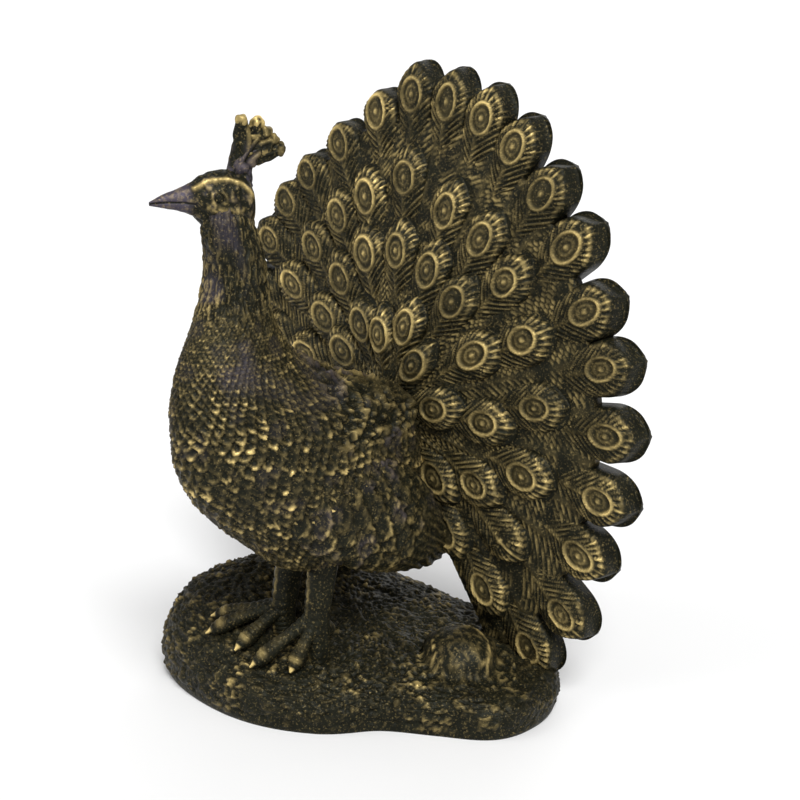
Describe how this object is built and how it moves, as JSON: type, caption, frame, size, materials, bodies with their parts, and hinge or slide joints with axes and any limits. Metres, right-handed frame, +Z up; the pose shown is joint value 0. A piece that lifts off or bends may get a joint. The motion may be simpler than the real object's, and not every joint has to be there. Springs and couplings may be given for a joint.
{
  "type": "peacock figurine",
  "caption": "Cast peacock figurine with a raised fan of eyed tail feathers, standing on a low rocky oval base.",
  "frame": {"origin": "middle of the flat underside of the rocky base, on the surface that it stands on", "axes": "+Z up, the bird's body faces -Y, the bird's left side is +X"},
  "size_m": [0.2635, 0.1879, 0.3028],
  "materials": {
    "antique_bronze": null
  },
  "bodies": {
    "root": {"peacock_figurine": "antique_bronze"}
  },
  "joints": []
}
